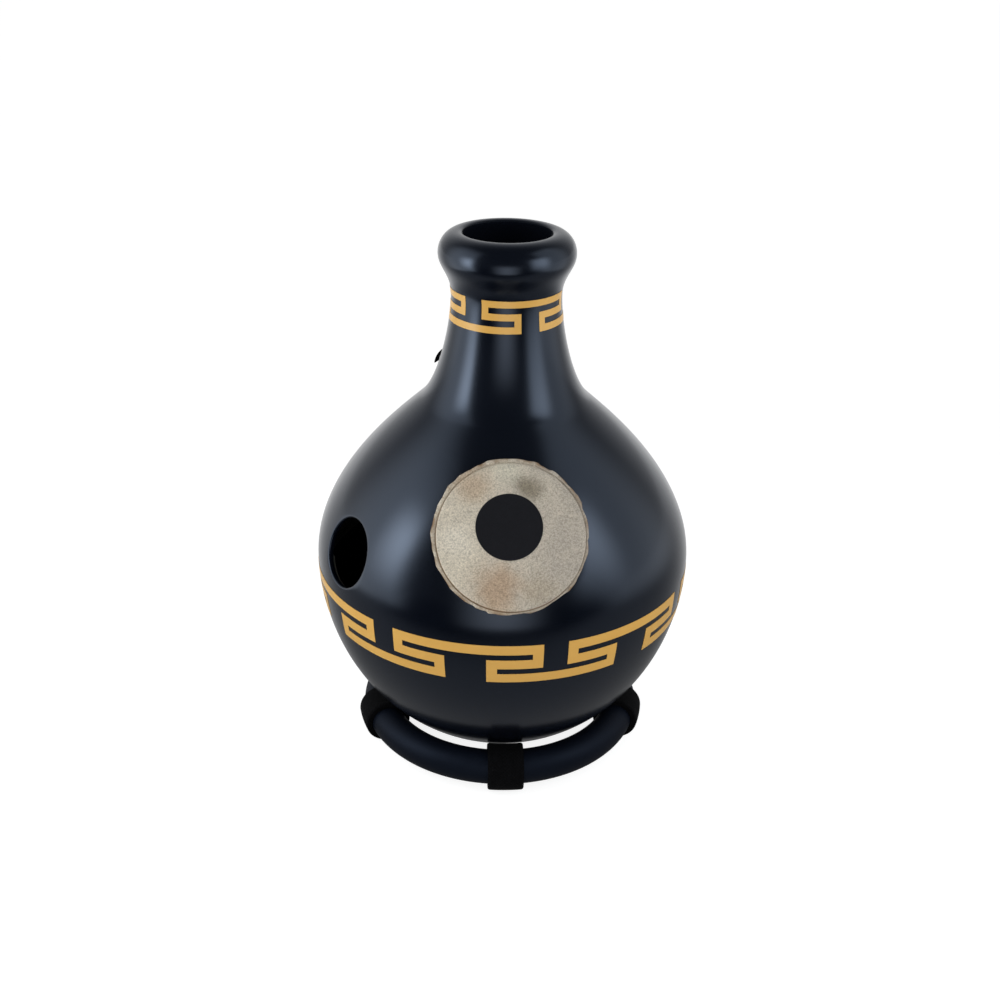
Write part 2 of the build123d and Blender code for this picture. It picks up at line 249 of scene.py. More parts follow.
def sleeve_section():
    """The sleeve from end to end as (place along the ring, share of the way out from its bore)."""
    half = SLEEVE_WIDTH / 2
    layer = 1 / SLEEVE_LAYERS
    end = [(half - BORE_ROUND, 0.0)]
    for count in range(SLEEVE_LAYERS):
        end.append((half - LAYER_ROUND, (count + 0.2) * layer))
        end.append((half, (count + 0.5) * layer))
        if count < SLEEVE_LAYERS - 1:
            end.append((half - LAYER_ROUND, (count + 0.8) * layer))
            end.append((half - LAYER_NOTCH, (count + 1) * layer))
    for step in range(1, 5):
        turn = math.radians(22.5 * step)
        end.append((half - EDGE_ROUND * (1 - math.cos(turn)), 1 - EDGE_SHARE * (1 - math.sin(turn))))
    run = half - EDGE_ROUND
    middle = [(run * (1 - 2 * step / SLEEVE_STEPS), 1.0) for step in range(1, SLEEVE_STEPS)]
    left = [(-along, out) for along, out in reversed(end)]
    return end + middle + left


def make_sleeve(name, azimuth, seed):
    """One wrapped sleeve about the ring's centre line, in its own frame: X along the ring, -Y outward."""
    dice = random.Random(seed)
    waves = [(dice.randint(2, 7), dice.uniform(0, math.tau), dice.uniform(-PUCKER_SLANT, PUCKER_SLANT))
             for _ in range(PUCKER_WAVES)]
    bore = TUBE_RADIUS + SLEEVE_GAP
    rings = []
    for along, out in sleeve_section():
        ring = []
        for side in range(SLEEVE_SIDES):
            turn = WRAP_END + math.tau * side / (SLEEVE_SIDES - 1)
            spiral = SLEEVE_RADIUS - WRAP_STEP * max(0.0, 1 - 4 * side / (SLEEVE_SIDES - 1))
            ripples = [math.sin(n * turn + shift + slant * along) - 1 for n, shift, slant in waves]
            spiral += PUCKER / PUCKER_WAVES * sum(ripples)
            radius = bore + (spiral - bore) * out
            outward = RING_RADIUS + radius * math.cos(turn)
            level = max(radius * math.sin(turn), -RING_LEVEL)
            ring.append(Vector((along, RING_RADIUS - math.sqrt(outward**2 - along**2), level)))
        rings.append(ring)
    points, rings = numbered(rings)
    sleeve = add_piece(name, points, strips(rings + rings[:1]), woven_polyester())
    place = Matrix.Rotation(azimuth, 4, "Z") @ Matrix.Translation((0, -RING_RADIUS, RING_LEVEL))
    sleeve.matrix_world = place
    return sleeve


for seed, (side, azimuth) in enumerate(SLEEVE_AZIMUTHS.items()):
    sleeve = make_sleeve("woven_sleeve_" + side, math.radians(azimuth), 11 + seed)
    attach(sleeve, "stand")
    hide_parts("sleeve_" + side)


# Vessel
# Two glass-fibre mouldings, a bowl and a shoulder with its neck, bonded edge to edge at the widest circle,
# filled, rubbed down and sprayed with satin black lacquer, so that no joint shows outside.
BELLY_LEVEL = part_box("upper_shell")[0].z
CREST_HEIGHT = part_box("upper_shell")[1].z - BELLY_LEVEL
BELLY_RADIUS = 159 * MM
BOWL_DEPTH = 176.6 * MM
UNDERSIDE_RADIUS = 46 * MM
SHOULDER_RADIUS = 69.9 * MM
SHOULDER_HEIGHT = 137.9 * MM
SHOULDER_LEAN = math.radians(44.3)
NECK_RADIUS = 44.4 * MM
NECK_HEIGHT = 226 * MM
LIP_RADIUS = 54.8 * MM
LIP_HEIGHT = 259 * MM
CREST_RADIUS = 39.5 * MM
MOUTH_RADIUS = 34.8 * MM
MOUTH_DROP = 3 * MM
THROAT_DROP = 14 * MM
BELLY_PULL = 0.48
SHOULDER_PULL = 0.14
SWEEP_PULL = 0.26
NECK_PULL = 0.27
FLARE_PULL = 0.5
LIP_PULL = 0.33
LIP_ROWS = 18
FACE_READINGS = 600
SEARCH_REACH = 0.6 * BELLY_RADIUS
SEARCH_HALVINGS = 40
WALL = 5 * MM
COLUMNS = 192
COLUMN = math.tau / COLUMNS
SHOULDER_ROWS = 46
NECK_ROWS = 26
HOLE_RADIUS = 28.4 * MM
HOLE_HEIGHT = 35 * MM
HOLE_AZIMUTH = math.radians(-59)
HOLE_ROUND = 1.4 * MM
PORT_RADIUS = 56.6 * MM
PORT_HEIGHT = 75 * MM
PORT_ROUND = 0.3 * MM
RIVET_RADIUS = 1.7 * MM
RIVET_HEIGHT = 166 * MM
RIVET_AZIMUTH = math.radians(-118)
RIVET_ROUND = 0.1 * MM
HOLE_MARGIN = 5 * MM
HOLE_SPREAD = 5
LACQUER_BLACK = "#05080f"
LACQUER_BLUE = "#080c16"
LACQUER_SHEEN = "#d3e4ff"
CLOUD_SIZE = 70 * MM
ORANGE_PEEL = 2.6 * MM
FACING_IN = -0.85
FACING_OUT = -0.5


def along(handles, share):
    """Point of a cubic curve at a share of its way."""
    first, second, third, last = handles
    rest = 1 - share
    start = first * rest**3 + second * (3 * rest**2 * share)
    return start + third * (3 * rest * share**2) + last * share**3


def rows_on(handles, steps):
    """Points along a cubic curve, after its first."""
    return [along(handles, step / steps) for step in range(1, steps + 1)]


def shoulder_turn(inset):
    """Where the shoulder's bulge turns into the neck's sweep, and the way the profile runs there."""
    normal = Vector((math.cos(SHOULDER_LEAN), math.sin(SHOULDER_LEAN)))
    run = Vector((-math.sin(SHOULDER_LEAN), math.cos(SHOULDER_LEAN)))
    return Vector((SHOULDER_RADIUS, SHOULDER_HEIGHT)) - normal * inset, run


def shoulder_curve(inset=0.0):
    """The profile from the widest circle to the turn, inset from the outer face."""
    turn, run = shoulder_turn(inset)
    belly = Vector((BELLY_RADIUS - inset, 0))
    above = belly + Vector((0, BELLY_PULL * SHOULDER_HEIGHT))
    return [belly, above, turn - run * (SHOULDER_PULL * SHOULDER_HEIGHT), turn]


def neck_curve(inset=0.0):
    """The profile from the turn to the narrowest part of the neck."""
    turn, run = shoulder_turn(inset)
    span = NECK_HEIGHT - SHOULDER_HEIGHT
    neck = Vector((NECK_RADIUS - inset, NECK_HEIGHT))
    return [turn, turn + run * (SWEEP_PULL * span), neck - Vector((0, NECK_PULL * span)), neck]


def bowl_rows(inset, steps):
    """The bowl's ellipse from the edge of its flat underside up to the widest circle."""
    depth = BOWL_DEPTH - inset
    lowest = math.asin((inset - BOWL_DEPTH * math.sqrt(1 - (UNDERSIDE_RADIUS / BELLY_RADIUS) ** 2)) / depth)
    turns = [lowest * (1 - step / steps) for step in range(steps + 1)]
    return [Vector(((BELLY_RADIUS - inset) * math.cos(t), depth * math.sin(t))) for t in turns]


def lip_rows():
    """The flare to the lip's widest circle, its rounded top, the mouth's edge, the bore and the throat."""
    span = LIP_HEIGHT - NECK_HEIGHT
    neck = Vector((NECK_RADIUS, NECK_HEIGHT))
    lip = Vector((LIP_RADIUS, LIP_HEIGHT))
    flare = [neck, neck + Vector((0, FLARE_PULL * span)), lip - Vector((0, LIP_PULL * span)), lip]
    rows = rows_on(flare, LIP_ROWS)
    quarter = [math.radians(5 * step) for step in range(1, 19)]
    top = Vector((LIP_RADIUS - CREST_RADIUS, CREST_HEIGHT - LIP_HEIGHT))
    rows += [Vector((CREST_RADIUS + top.x * math.cos(t), LIP_HEIGHT + top.y * math.sin(t))) for t in quarter]
    edge = Vector((CREST_RADIUS - MOUTH_RADIUS, MOUTH_DROP))
    level = CREST_HEIGHT - MOUTH_DROP
    rows += [Vector((CREST_RADIUS - edge.x * math.sin(t), level + edge.y * math.cos(t)))
             for t in quarter[1::2]]
    throat = Vector((MOUTH_RADIUS, level - THROAT_DROP))
    rows += [throat.lerp(rows[-1], 1 - step / 3) for step in range(1, 4)]
    inner = Vector((NECK_RADIUS - WALL, NECK_HEIGHT))
    pull = Vector((0, 0.4 * (throat.y - inner.y)))
    return rows + rows_on([throat, throat - pull, inner + pull, inner], 10)


def face_table(inset):
    """Heights and radii of the outer face, or of a face inset from it, close enough to read between."""
    rows = bowl_rows(inset, FACE_READINGS) + rows_on(shoulder_curve(inset), FACE_READINGS)
    rows += rows_on(neck_curve(inset), FACE_READINGS // 2)
    if not inset:
        rows += lip_rows()[:LIP_ROWS]
    return [row.y for row in rows], [row.x for row in rows]


FACE = {0.0: face_table(0.0), WALL: face_table(WALL)}


def face_radius(height, inset=0.0):
    """Radius of the vessel's face at a height above its widest circle."""
    return float(np.interp(height, *FACE[inset]))


def on_face(azimuth, height, inset=0.0):
    """Point of the vessel's face at an azimuth from the front and a height above its widest circle."""
    radius = face_radius(height, inset)
    return Vector((radius * math.sin(azimuth), -radius * math.cos(azimuth), BELLY_LEVEL + height))


def face_plane(azimuth, height):
    """Frame on the outer face: X level round the drum, Y up the face, Z straight out of it."""
    step = 0.5 * MM
    lean = math.atan2(face_radius(height - step) - face_radius(height + step), 2 * step)
    level = Vector((math.cos(azimuth), math.sin(azimuth), 0))
    outward = Vector((math.sin(azimuth), -math.cos(azimuth), 0))
    normal = outward * math.cos(lean) + Vector((0, 0, math.sin(lean)))
    plane = Matrix((level, normal.cross(level), normal)).transposed().to_4x4()
    plane.translation = on_face(azimuth, height)
    return plane


def below(plane, x, y, inset=0.0):
    """The point of the vessel's face straight below a point of a plane on it."""
    near, far = 0.0, SEARCH_REACH
    for _ in range(SEARCH_HALVINGS):
        depth = (near + far) / 2
        point = plane @ Vector((x, y, -depth))
        if math.hypot(point.x, point.y) <= face_radius(point.z - BELLY_LEVEL, inset):
            far = depth
        else:
            near = depth
    return plane @ Vector((x, y, -far))


def satin_lacquer():
    """Sprayed acrylic lacquer rubbed to a satin: blue-black, with a fine orange peel and faint hazy clouds.
    Inside the vessel, where a wall faces the drum's axis, the sprayed coat is thin and dull."""
    material, tree, place = new_material("satin_lacquer")
    spoke = add_node(tree, "VectorMath", {"operation": "MULTIPLY"}, {0: place, 1: (1.0, 1.0, 0.0)})
    spoke = add_node(tree, "VectorMath", {"operation": "NORMALIZE"}, {0: spoke})
    facing = add_node(tree, "VectorMath", {"operation": "DOT_PRODUCT"},
                      {0: spoke, 1: place.node.outputs["Normal"]})
    gloss = add_node(tree, "MapRange", {},
                     {"Value": facing.outputs["Value"], "From Min": FACING_IN, "From Max": FACING_OUT,
                      "To Min": 0.08, "To Max": 0.6})
    cloud = add_node(tree, "TexNoise", {}, {"Vector": place, "Scale": 1 / CLOUD_SIZE, "Detail": 5.0})
    peel = add_node(tree, "TexNoise", {}, {"Vector": place, "Scale": 1 / ORANGE_PEEL, "Detail": 1.5})
    colour = add_node(tree, "Mix", {"data_type": "RGBA"},
                      {0: cloud, 6: linear(LACQUER_BLACK), 7: linear(LACQUER_BLUE)})
    haze = add_node(tree, "MapRange", {}, {"Value": cloud, "To Min": 0.18, "To Max": 0.24})
    thin = add_node(tree, "MapRange", {},
                    {"Value": facing.outputs["Value"], "From Min": FACING_IN, "From Max": FACING_OUT,
                     "To Min": 0.85, "To Max": 0.0})
    rough = add_node(tree, "Math", {"operation": "MAXIMUM"}, {0: haze, 1: thin})
    bump = add_node(tree, "Bump", {}, {"Height": peel, "Strength": 0.05, "Distance": 0.12 * MM})
    coat = add_node(tree, "BsdfPrincipled", {},
                    {"Base Color": colour.outputs[2], "Roughness": rough, "IOR": 1.55,
                     "Specular IOR Level": gloss, "Specular Tint": linear(LACQUER_SHEEN),
                     "Normal": bump})
    add_node(tree, "OutputMaterial", {}, {"Surface": coat})
    return material


bowl_out = bowl_rows(0.0, 44)
bowl_in = bowl_rows(WALL, 26)
floor_out = [Vector((0.5 * UNDERSIDE_RADIUS, bowl_out[0].y))]
floor_in = [Vector((0.5 * UNDERSIDE_RADIUS, bowl_in[0].y))]
outer_wall = rows_on(shoulder_curve(), SHOULDER_ROWS) + rows_on(neck_curve(), NECK_ROWS)
inner_wall = rows_on(shoulder_curve(WALL), SHOULDER_ROWS) + rows_on(neck_curve(WALL), NECK_ROWS)
lip = lip_rows()
profile = floor_out + bowl_out + outer_wall + lip + inner_wall[-2::-1] + bowl_in[::-1] + floor_in
seam = len(floor_out) - 1 + len(bowl_out)
inner_seam = seam + len(outer_wall) + len(lip) + len(inner_wall)
columns = [COLUMN * column for column in range(COLUMNS)]
circles = [[Vector((row.x * math.sin(a), -row.x * math.cos(a), BELLY_LEVEL + row.y)) for a in columns]
           for row in profile]
points, rings = numbered(circles)
open_cells = set()
faces = []


def cut_hole(azimuth, height, radius, edge):
    """Opens a round hole square to the wall, with its edges rounded outside and inside."""
    plane = face_plane(azimuth, height)
    half = math.asin((radius + HOLE_MARGIN) / face_radius(height + 0.5 * radius))
    left = math.floor((azimuth - half) / COLUMN)
    right = math.ceil((azimuth + half) / COLUMN)
    levels = [0.0] + [row.y for row in outer_wall]
    bottom = below(plane, 0, -radius - HOLE_MARGIN / 2).z - BELLY_LEVEL
    top = below(plane, 0, radius + HOLE_MARGIN / 2).z - BELLY_LEVEL
    low = max(count for count, level in enumerate(levels) if level <= max(bottom, 0))
    high = min(count for count, level in enumerate(levels) if level >= top)
    around = [(low, column) for column in range(left, right)]
    around += [(row, right) for row in range(low, high)]
    around += [(high, column) for column in range(right, left, -1)]
    around += [(row, left) for row in range(high, low, -1)]
    chain = [[] for _ in range(2 * HOLE_SPREAD + 6)]
    for row, column in around:
        local = plane.inverted() @ on_face(column * COLUMN, levels[row])
        way = Vector((local.x, local.y)).normalized()
        brink = [below(plane, *(way * (radius + edge)), inset) for inset in (0.0, WALL)]
        corner = [below(plane, *(way * radius), inset) for inset in (0.0, WALL)]
        inward = plane.to_3x3() @ Vector((0, 0, -edge))
        sunk = [corner[0] + inward, corner[1] - inward]
        rim = [brink[side] * 0.25 + corner[side] * 0.5 + sunk[side] * 0.25 for side in (0, 1)]
        stack = []
        for inset, wall_row, mark in ((0.0, seam + row, brink[0]), (WALL, inner_seam - row, brink[1])):
            edge_height = profile[wall_row].y
            mark_azimuth = math.atan2(mark.x, -mark.y)
            mark_height = mark.z - BELLY_LEVEL
            for step in range(1, HOLE_SPREAD):
                share = step / HOLE_SPREAD
                stack.append(on_face(column * COLUMN + (mark_azimuth - column * COLUMN) * share,
                                     edge_height + (mark_height - edge_height) * share, inset))
        spread = HOLE_SPREAD - 1
        line = stack[:spread] + [brink[0], rim[0], sunk[0], sunk[1], rim[1], brink[1]] + stack[:spread - 1:-1]
        first = len(points)
        points.extend(line)
        chain[0].append(rings[seam + row][column % COLUMNS])
        for count in range(len(line)):
            chain[count + 1].append(first + count)
        chain[len(line) + 1].append(rings[inner_seam - row][column % COLUMNS])
    faces.extend(strips(chain))
    for column in range(left, right):
        for row in range(low, high):
            open_cells.add((seam + row, column % COLUMNS))
            open_cells.add((inner_seam - row - 1, column % COLUMNS))


cut_hole(HOLE_AZIMUTH, HOLE_HEIGHT, HOLE_RADIUS, HOLE_ROUND)
cut_hole(0.0, PORT_HEIGHT, PORT_RADIUS, PORT_ROUND)
cut_hole(RIVET_AZIMUTH, RIVET_HEIGHT, RIVET_RADIUS, RIVET_ROUND)
for count, face in enumerate(strips(rings)):
    if (count // COLUMNS, count % COLUMNS) not in open_cells:
        faces.append(face)
for row, turn in ((rings[0][::-1], profile[0]), (rings[-1], profile[-1])):
    points.append(Vector((0, 0, BELLY_LEVEL + turn.y)))
    faces.extend((row[k], row[(k + 1) % COLUMNS], len(points) - 1) for k in range(COLUMNS))
vessel = add_piece("lacquered_vessel", points, faces, satin_lacquer())
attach(vessel, "drum")
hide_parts("lower_bowl", "upper_shell")


# Seam tape
# A band of woven glass tape, wetted with resin, laid over the joint inside the vessel.
# It holds the two mouldings together and shows only through the holes.
TAPE_GREY = "#4a4b47"
TAPE_RESIN = "#33332f"
TAPE_CELL = 3 * MM


def glass_tape():
    """Woven glass in polyester resin: a greenish grey, mottled where the threads show through."""
    material, tree, place = new_material("resin_glass_tape")
    cell = add_node(tree, "TexVoronoi", {}, {"Vector": place, "Scale": 1 / TAPE_CELL})
    colour = add_node(tree, "Mix", {"data_type": "RGBA"},
                      {0: cell, 6: linear(TAPE_GREY), 7: linear(TAPE_RESIN)})
    bump = add_node(tree, "Bump", {}, {"Height": cell, "Strength": 0.4, "Distance": 0.3 * MM})
    tape = add_node(tree, "BsdfPrincipled", {},
                    {"Base Color": colour.outputs[2], "Roughness": 0.45, "IOR": 1.55,
                     "Normal": bump})
    add_node(tree, "OutputMaterial", {}, {"Surface": tape})
    return material


dress("seam_tape", glass_tape())


# Gold meanders
# One unbroken line on the belly and one round the neck, masked and sprayed over the lacquer
# in gold-ochre enamel. The line folds back on itself twice in each repeat.
PAINT_LIFT = 0.05 * MM
PAINT_THICKNESS = 0.2 * MM
PAINT_STEP = 3.2 * MM
GOLD = "#e2b058"
GOLD_WARM = "#dba64b"
PAINT_CLOUD = 22 * MM
PAINT_GRAIN = 1.2 * MM


def gold_paint():
    """Ochre-gold enamel with a low sheen: even, with a fine sprayed tooth and slightly thinner patches."""
    material, tree, place = new_material("gold_enamel")
    cloud = add_node(tree, "TexNoise", {}, {"Vector": place, "Scale": 1 / PAINT_CLOUD, "Detail": 3.0})
    grain = add_node(tree, "TexNoise", {}, {"Vector": place, "Scale": 1 / PAINT_GRAIN, "Detail": 2.0})
    colour = add_node(tree, "Mix", {"data_type": "RGBA"}, {0: cloud, 6: linear(GOLD), 7: linear(GOLD_WARM)})
    bump = add_node(tree, "Bump", {}, {"Height": grain, "Strength": 0.08, "Distance": 0.1 * MM})
    film = add_node(tree, "BsdfPrincipled", {},
                    {"Base Color": colour.outputs[2], "Roughness": 0.32, "IOR": 1.5,
                     "Specular IOR Level": 0.6, "Normal": bump})
    add_node(tree, "OutputMaterial", {}, {"Surface": film})
    return material


def fine_steps(marks, step):
    """The marks in order, with even steps of about a given size between them."""
    steps = []
    for start, end in zip(marks, marks[1:]):
        count = max(1, round((end - start) / step))
        steps += [start + (end - start) * k / count for k in range(count)]
    return steps + [marks[-1]]


def make_meander(name, top, bottom, line, repeats, fold_share, gap_share, azimuth):
    """A film of paint over the cells of a grid of azimuths and heights that the line covers."""
    pitch = math.tau / repeats
    fold = fold_share * pitch
    middle = (top + bottom - line) / 2
    upright = line / face_radius(middle)
    down_left = azimuth - fold / 2
    down_right = azimuth + fold / 2
    up_left = down_right + gap_share * pitch
    up_right = up_left + fold
    strokes = [
        (top - line, top, up_left - pitch, down_right),
        (middle, top, down_right - upright, down_right),
        (middle, middle + line, down_left, down_right),
        (bottom, middle, down_left, down_left + upright),
        (bottom, bottom + line, down_left, up_right),
        (bottom, middle + line, up_right - upright, up_right),
        (middle, middle + line, up_left, up_right),
        (middle, top, up_left, up_left + upright),
    ]
    marks = sorted({mark for stroke in strokes for mark in stroke[:2]})
    heights = fine_steps(marks, PAINT_STEP)
    start = up_left - pitch
    edges = {round((mark - start) % pitch, 9) for stroke in strokes for mark in stroke[2:]}
    spans = fine_steps(sorted(edges | {0.0, pitch}), PAINT_STEP / face_radius(middle))
    turns = [start + pitch * count + span for count in range(repeats) for span in spans[:-1]]

    def painted(row, column):
        """Whether the line covers a cell, tried just inside its left edge."""
        height = (heights[row] + heights[row + 1]) / 2
        turn = start + (turns[column % len(turns)] + spans[1] * 1e-3 - start) % pitch
        return any(low < height < high and any(left < turn + shift < right for shift in (-pitch, 0, pitch))
                   for low, high, left, right in strokes)

    count = len(turns)
    cells = {(row, column) for row in range(len(heights) - 1) for column in range(count)
             if painted(row, column)}
    numbers = {}
    points = []
    faces = []

    def corner(row, column, lifted):
        """Number of a point of the film, on its foot (0) or its face (1)."""
        key = (row, column % count, lifted)
        if key not in numbers:
            numbers[key] = len(points)
            radius = face_radius(heights[row]) + PAINT_LIFT + PAINT_THICKNESS * lifted
            turn = turns[column % count]
            points.append((radius * math.sin(turn), -radius * math.cos(turn), BELLY_LEVEL + heights[row]))
        return numbers[key]

    for row, column in sorted(cells):
        square = [(row, column), (row, column + 1), (row + 1, column + 1), (row + 1, column)]
        beside = [(row - 1, column), (row, (column + 1) % count),
                  (row + 1, column), (row, (column - 1) % count)]
        faces.append([corner(*place, 1) for place in square])
        faces.append([corner(*place, 0) for place in reversed(square)])
        for side, neighbour in enumerate(beside):
            if neighbour not in cells:
                first, second = square[side], square[(side + 1) % 4]
                faces.append([corner(*first, 0), corner(*second, 0), corner(*second, 1), corner(*first, 1)])
    band = add_piece(name, points, faces, gold_paint())
    band.data.set_sharp_from_angle(angle=math.radians(30))
    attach(band, "drum")
    return band


body_band = make_meander("gold_belly_meander", top=-4.4 * MM, bottom=-39.7 * MM, line=8.4 * MM, repeats=7,
                         fold_share=0.313, gap_share=0.14, azimuth=math.radians(1.2))
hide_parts("body_meander")
neck_band = make_meander("gold_neck_meander", top=232.4 * MM, bottom=206.7 * MM, line=5.4 * MM, repeats=3,
                         fold_share=0.335, gap_share=0.167, azimuth=math.radians(51.9))
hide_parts("neck_meander")


# Head collar
# A stiff ring of black filled resin, bonded into a port in the shoulder, with a rounded bearing edge.
# The skin is stretched over it, so only a little of its side shows under the hem.
RESIN_BLACK = "#0d0e11"
RESIN_GREY = "#15161a"
RESIN_CLOUD = 12 * MM


def cast_resin():
    """Cast filled resin: black, slightly chalky, with a soft gloss."""
    material, tree, place = new_material("cast_black_resin")
    cloud = add_node(tree, "TexNoise", {}, {"Vector": place, "Scale": 1 / RESIN_CLOUD, "Detail": 4.0})
    colour = add_node(tree, "Mix", {"data_type": "RGBA"},
                      {0: cloud, 6: linear(RESIN_BLACK), 7: linear(RESIN_GREY)})
    resin = add_node(tree, "BsdfPrincipled", {},
                     {"Base Color": colour.outputs[2], "Roughness": 0.5, "IOR": 1.5})
    add_node(tree, "OutputMaterial", {}, {"Surface": resin})
    return material


dress("head_collar", cast_resin())


# Head skin
# A disc of goatskin, soaked, stretched over the collar, glued down its side and trimmed by hand once dry,
# so that a stiff, wavy hem stands out round the edge. A plain black spot is printed on it.
COLLAR_RADIUS = 56.5 * MM
COLLAR_PROUD = 5 * MM
BROW_IN = 1.6 * MM
BROW_REACH = 2.3 * MM
BROW_DROP = 2.4 * MM
GROOVE_OUT = 0.75 * MM
GROOVE_HALF = 0.35 * MM
GROOVE_DROP = 1.9 * MM
HEM_LEAST = 1.9 * MM
HEM_LEFT = 1.3 * MM
HEM_TOP = 1.9 * MM
HEM_SHAPE = [(0.12, -1.5), (0.35, -0.9), (0.62, -0.95), (0.85, -1.4), (1.0, -2.1), (0.93, -2.8), (0.6, -3.2)]
HEM_FOOT = 3.3 * MM
SNIP_DEPTH = 0.75 * MM
SNIP_ANGLES = (1.5, 8)
SKIN_LIFT = 0.1 * MM
SKIN_THICKNESS = 0.9 * MM
SKIN_COLUMNS = 480
SPOT_RADIUS = 25.8 * MM
SPOT_PLACE = (-1.3 * MM, 7.2 * MM)
# The hide's cream and grey tones also carry painted side light: cream at the left of the head, grey at the
# right.
SKIN_CREAM = "#d1c7b4"
SKIN_GREY_AND_SIDE_SHADE = "#b2a99c"
# Brown of the hem's stains, also used as painted shade in the groove and between the hem's folds.
SKIN_BROWN_AND_SHADE = "#84694d"
HIDE_STAINS = [
    ("#b59f86", (-30 * MM, 40 * MM), 17 * MM, 0.75),
    ("#ab9075", (-11 * MM, -40 * MM), 23 * MM, 0.8),
    ("#a39682", (22 * MM, -41 * MM), 16 * MM, 0.6),
    ("#dcd4c4", (-43 * MM, -2 * MM), 16 * MM, 0.7),
    ("#c9c4b2", (-2 * MM, 50 * MM), 12 * MM, 0.7),
    ("#7a7362", (7 * MM, 40 * MM), 8 * MM, 0.5),
    ("#6f6652", (15 * MM, 36 * MM), 11 * MM, 0.7),
]
SPOT_BLACK = "#0c0d13"
SPOT_WORN = "#13141b"
HIDE_CLOUD = 24 * MM
HIDE_PEBBLE = 1.05 * MM
# Width of the painted shade streaks between the hem's folds.
HEM_BROWN = 14 * MM
HEM_PLEAT_SHADE = 2.5 * MM


def head_place():
    """Frame of the collar's rim, proud of the highest part of the shoulder under it."""
    plane = face_plane(0.0, PORT_HEIGHT)
    sides = [(COLLAR_RADIUS, 0), (-COLLAR_RADIUS, 0), (0, COLLAR_RADIUS), (0, -COLLAR_RADIUS)]
    depths = [-(plane.inverted() @ below(plane, x, y)).z for x, y in sides]
    return plane @ Matrix.Translation((0, 0, COLLAR_PROUD - min(depths)))


def hide_patch(tree, place, warp, centre, size, strength):
    """Share of a stain on the hide: a soft-edged spot about a place on the head, with a ragged outline."""
    aside = add_node(tree, "VectorMath", {"operation": "DISTANCE"}, {0: place, 1: (*centre, 0.0)})
    ragged = add_node(tree, "Math", {"operation": "MULTIPLY_ADD"},
                      {0: warp, 1: 1.6 * size, 2: aside.outputs["Value"]})
    return add_node(tree, "MapRange", {"interpolation_type": "SMOOTHSTEP"},
                    {"Value": ragged, "From Min": 0.9 * size, "From Max": 2.1 * size,
                     "To Min": strength, "To Max": 0.0})


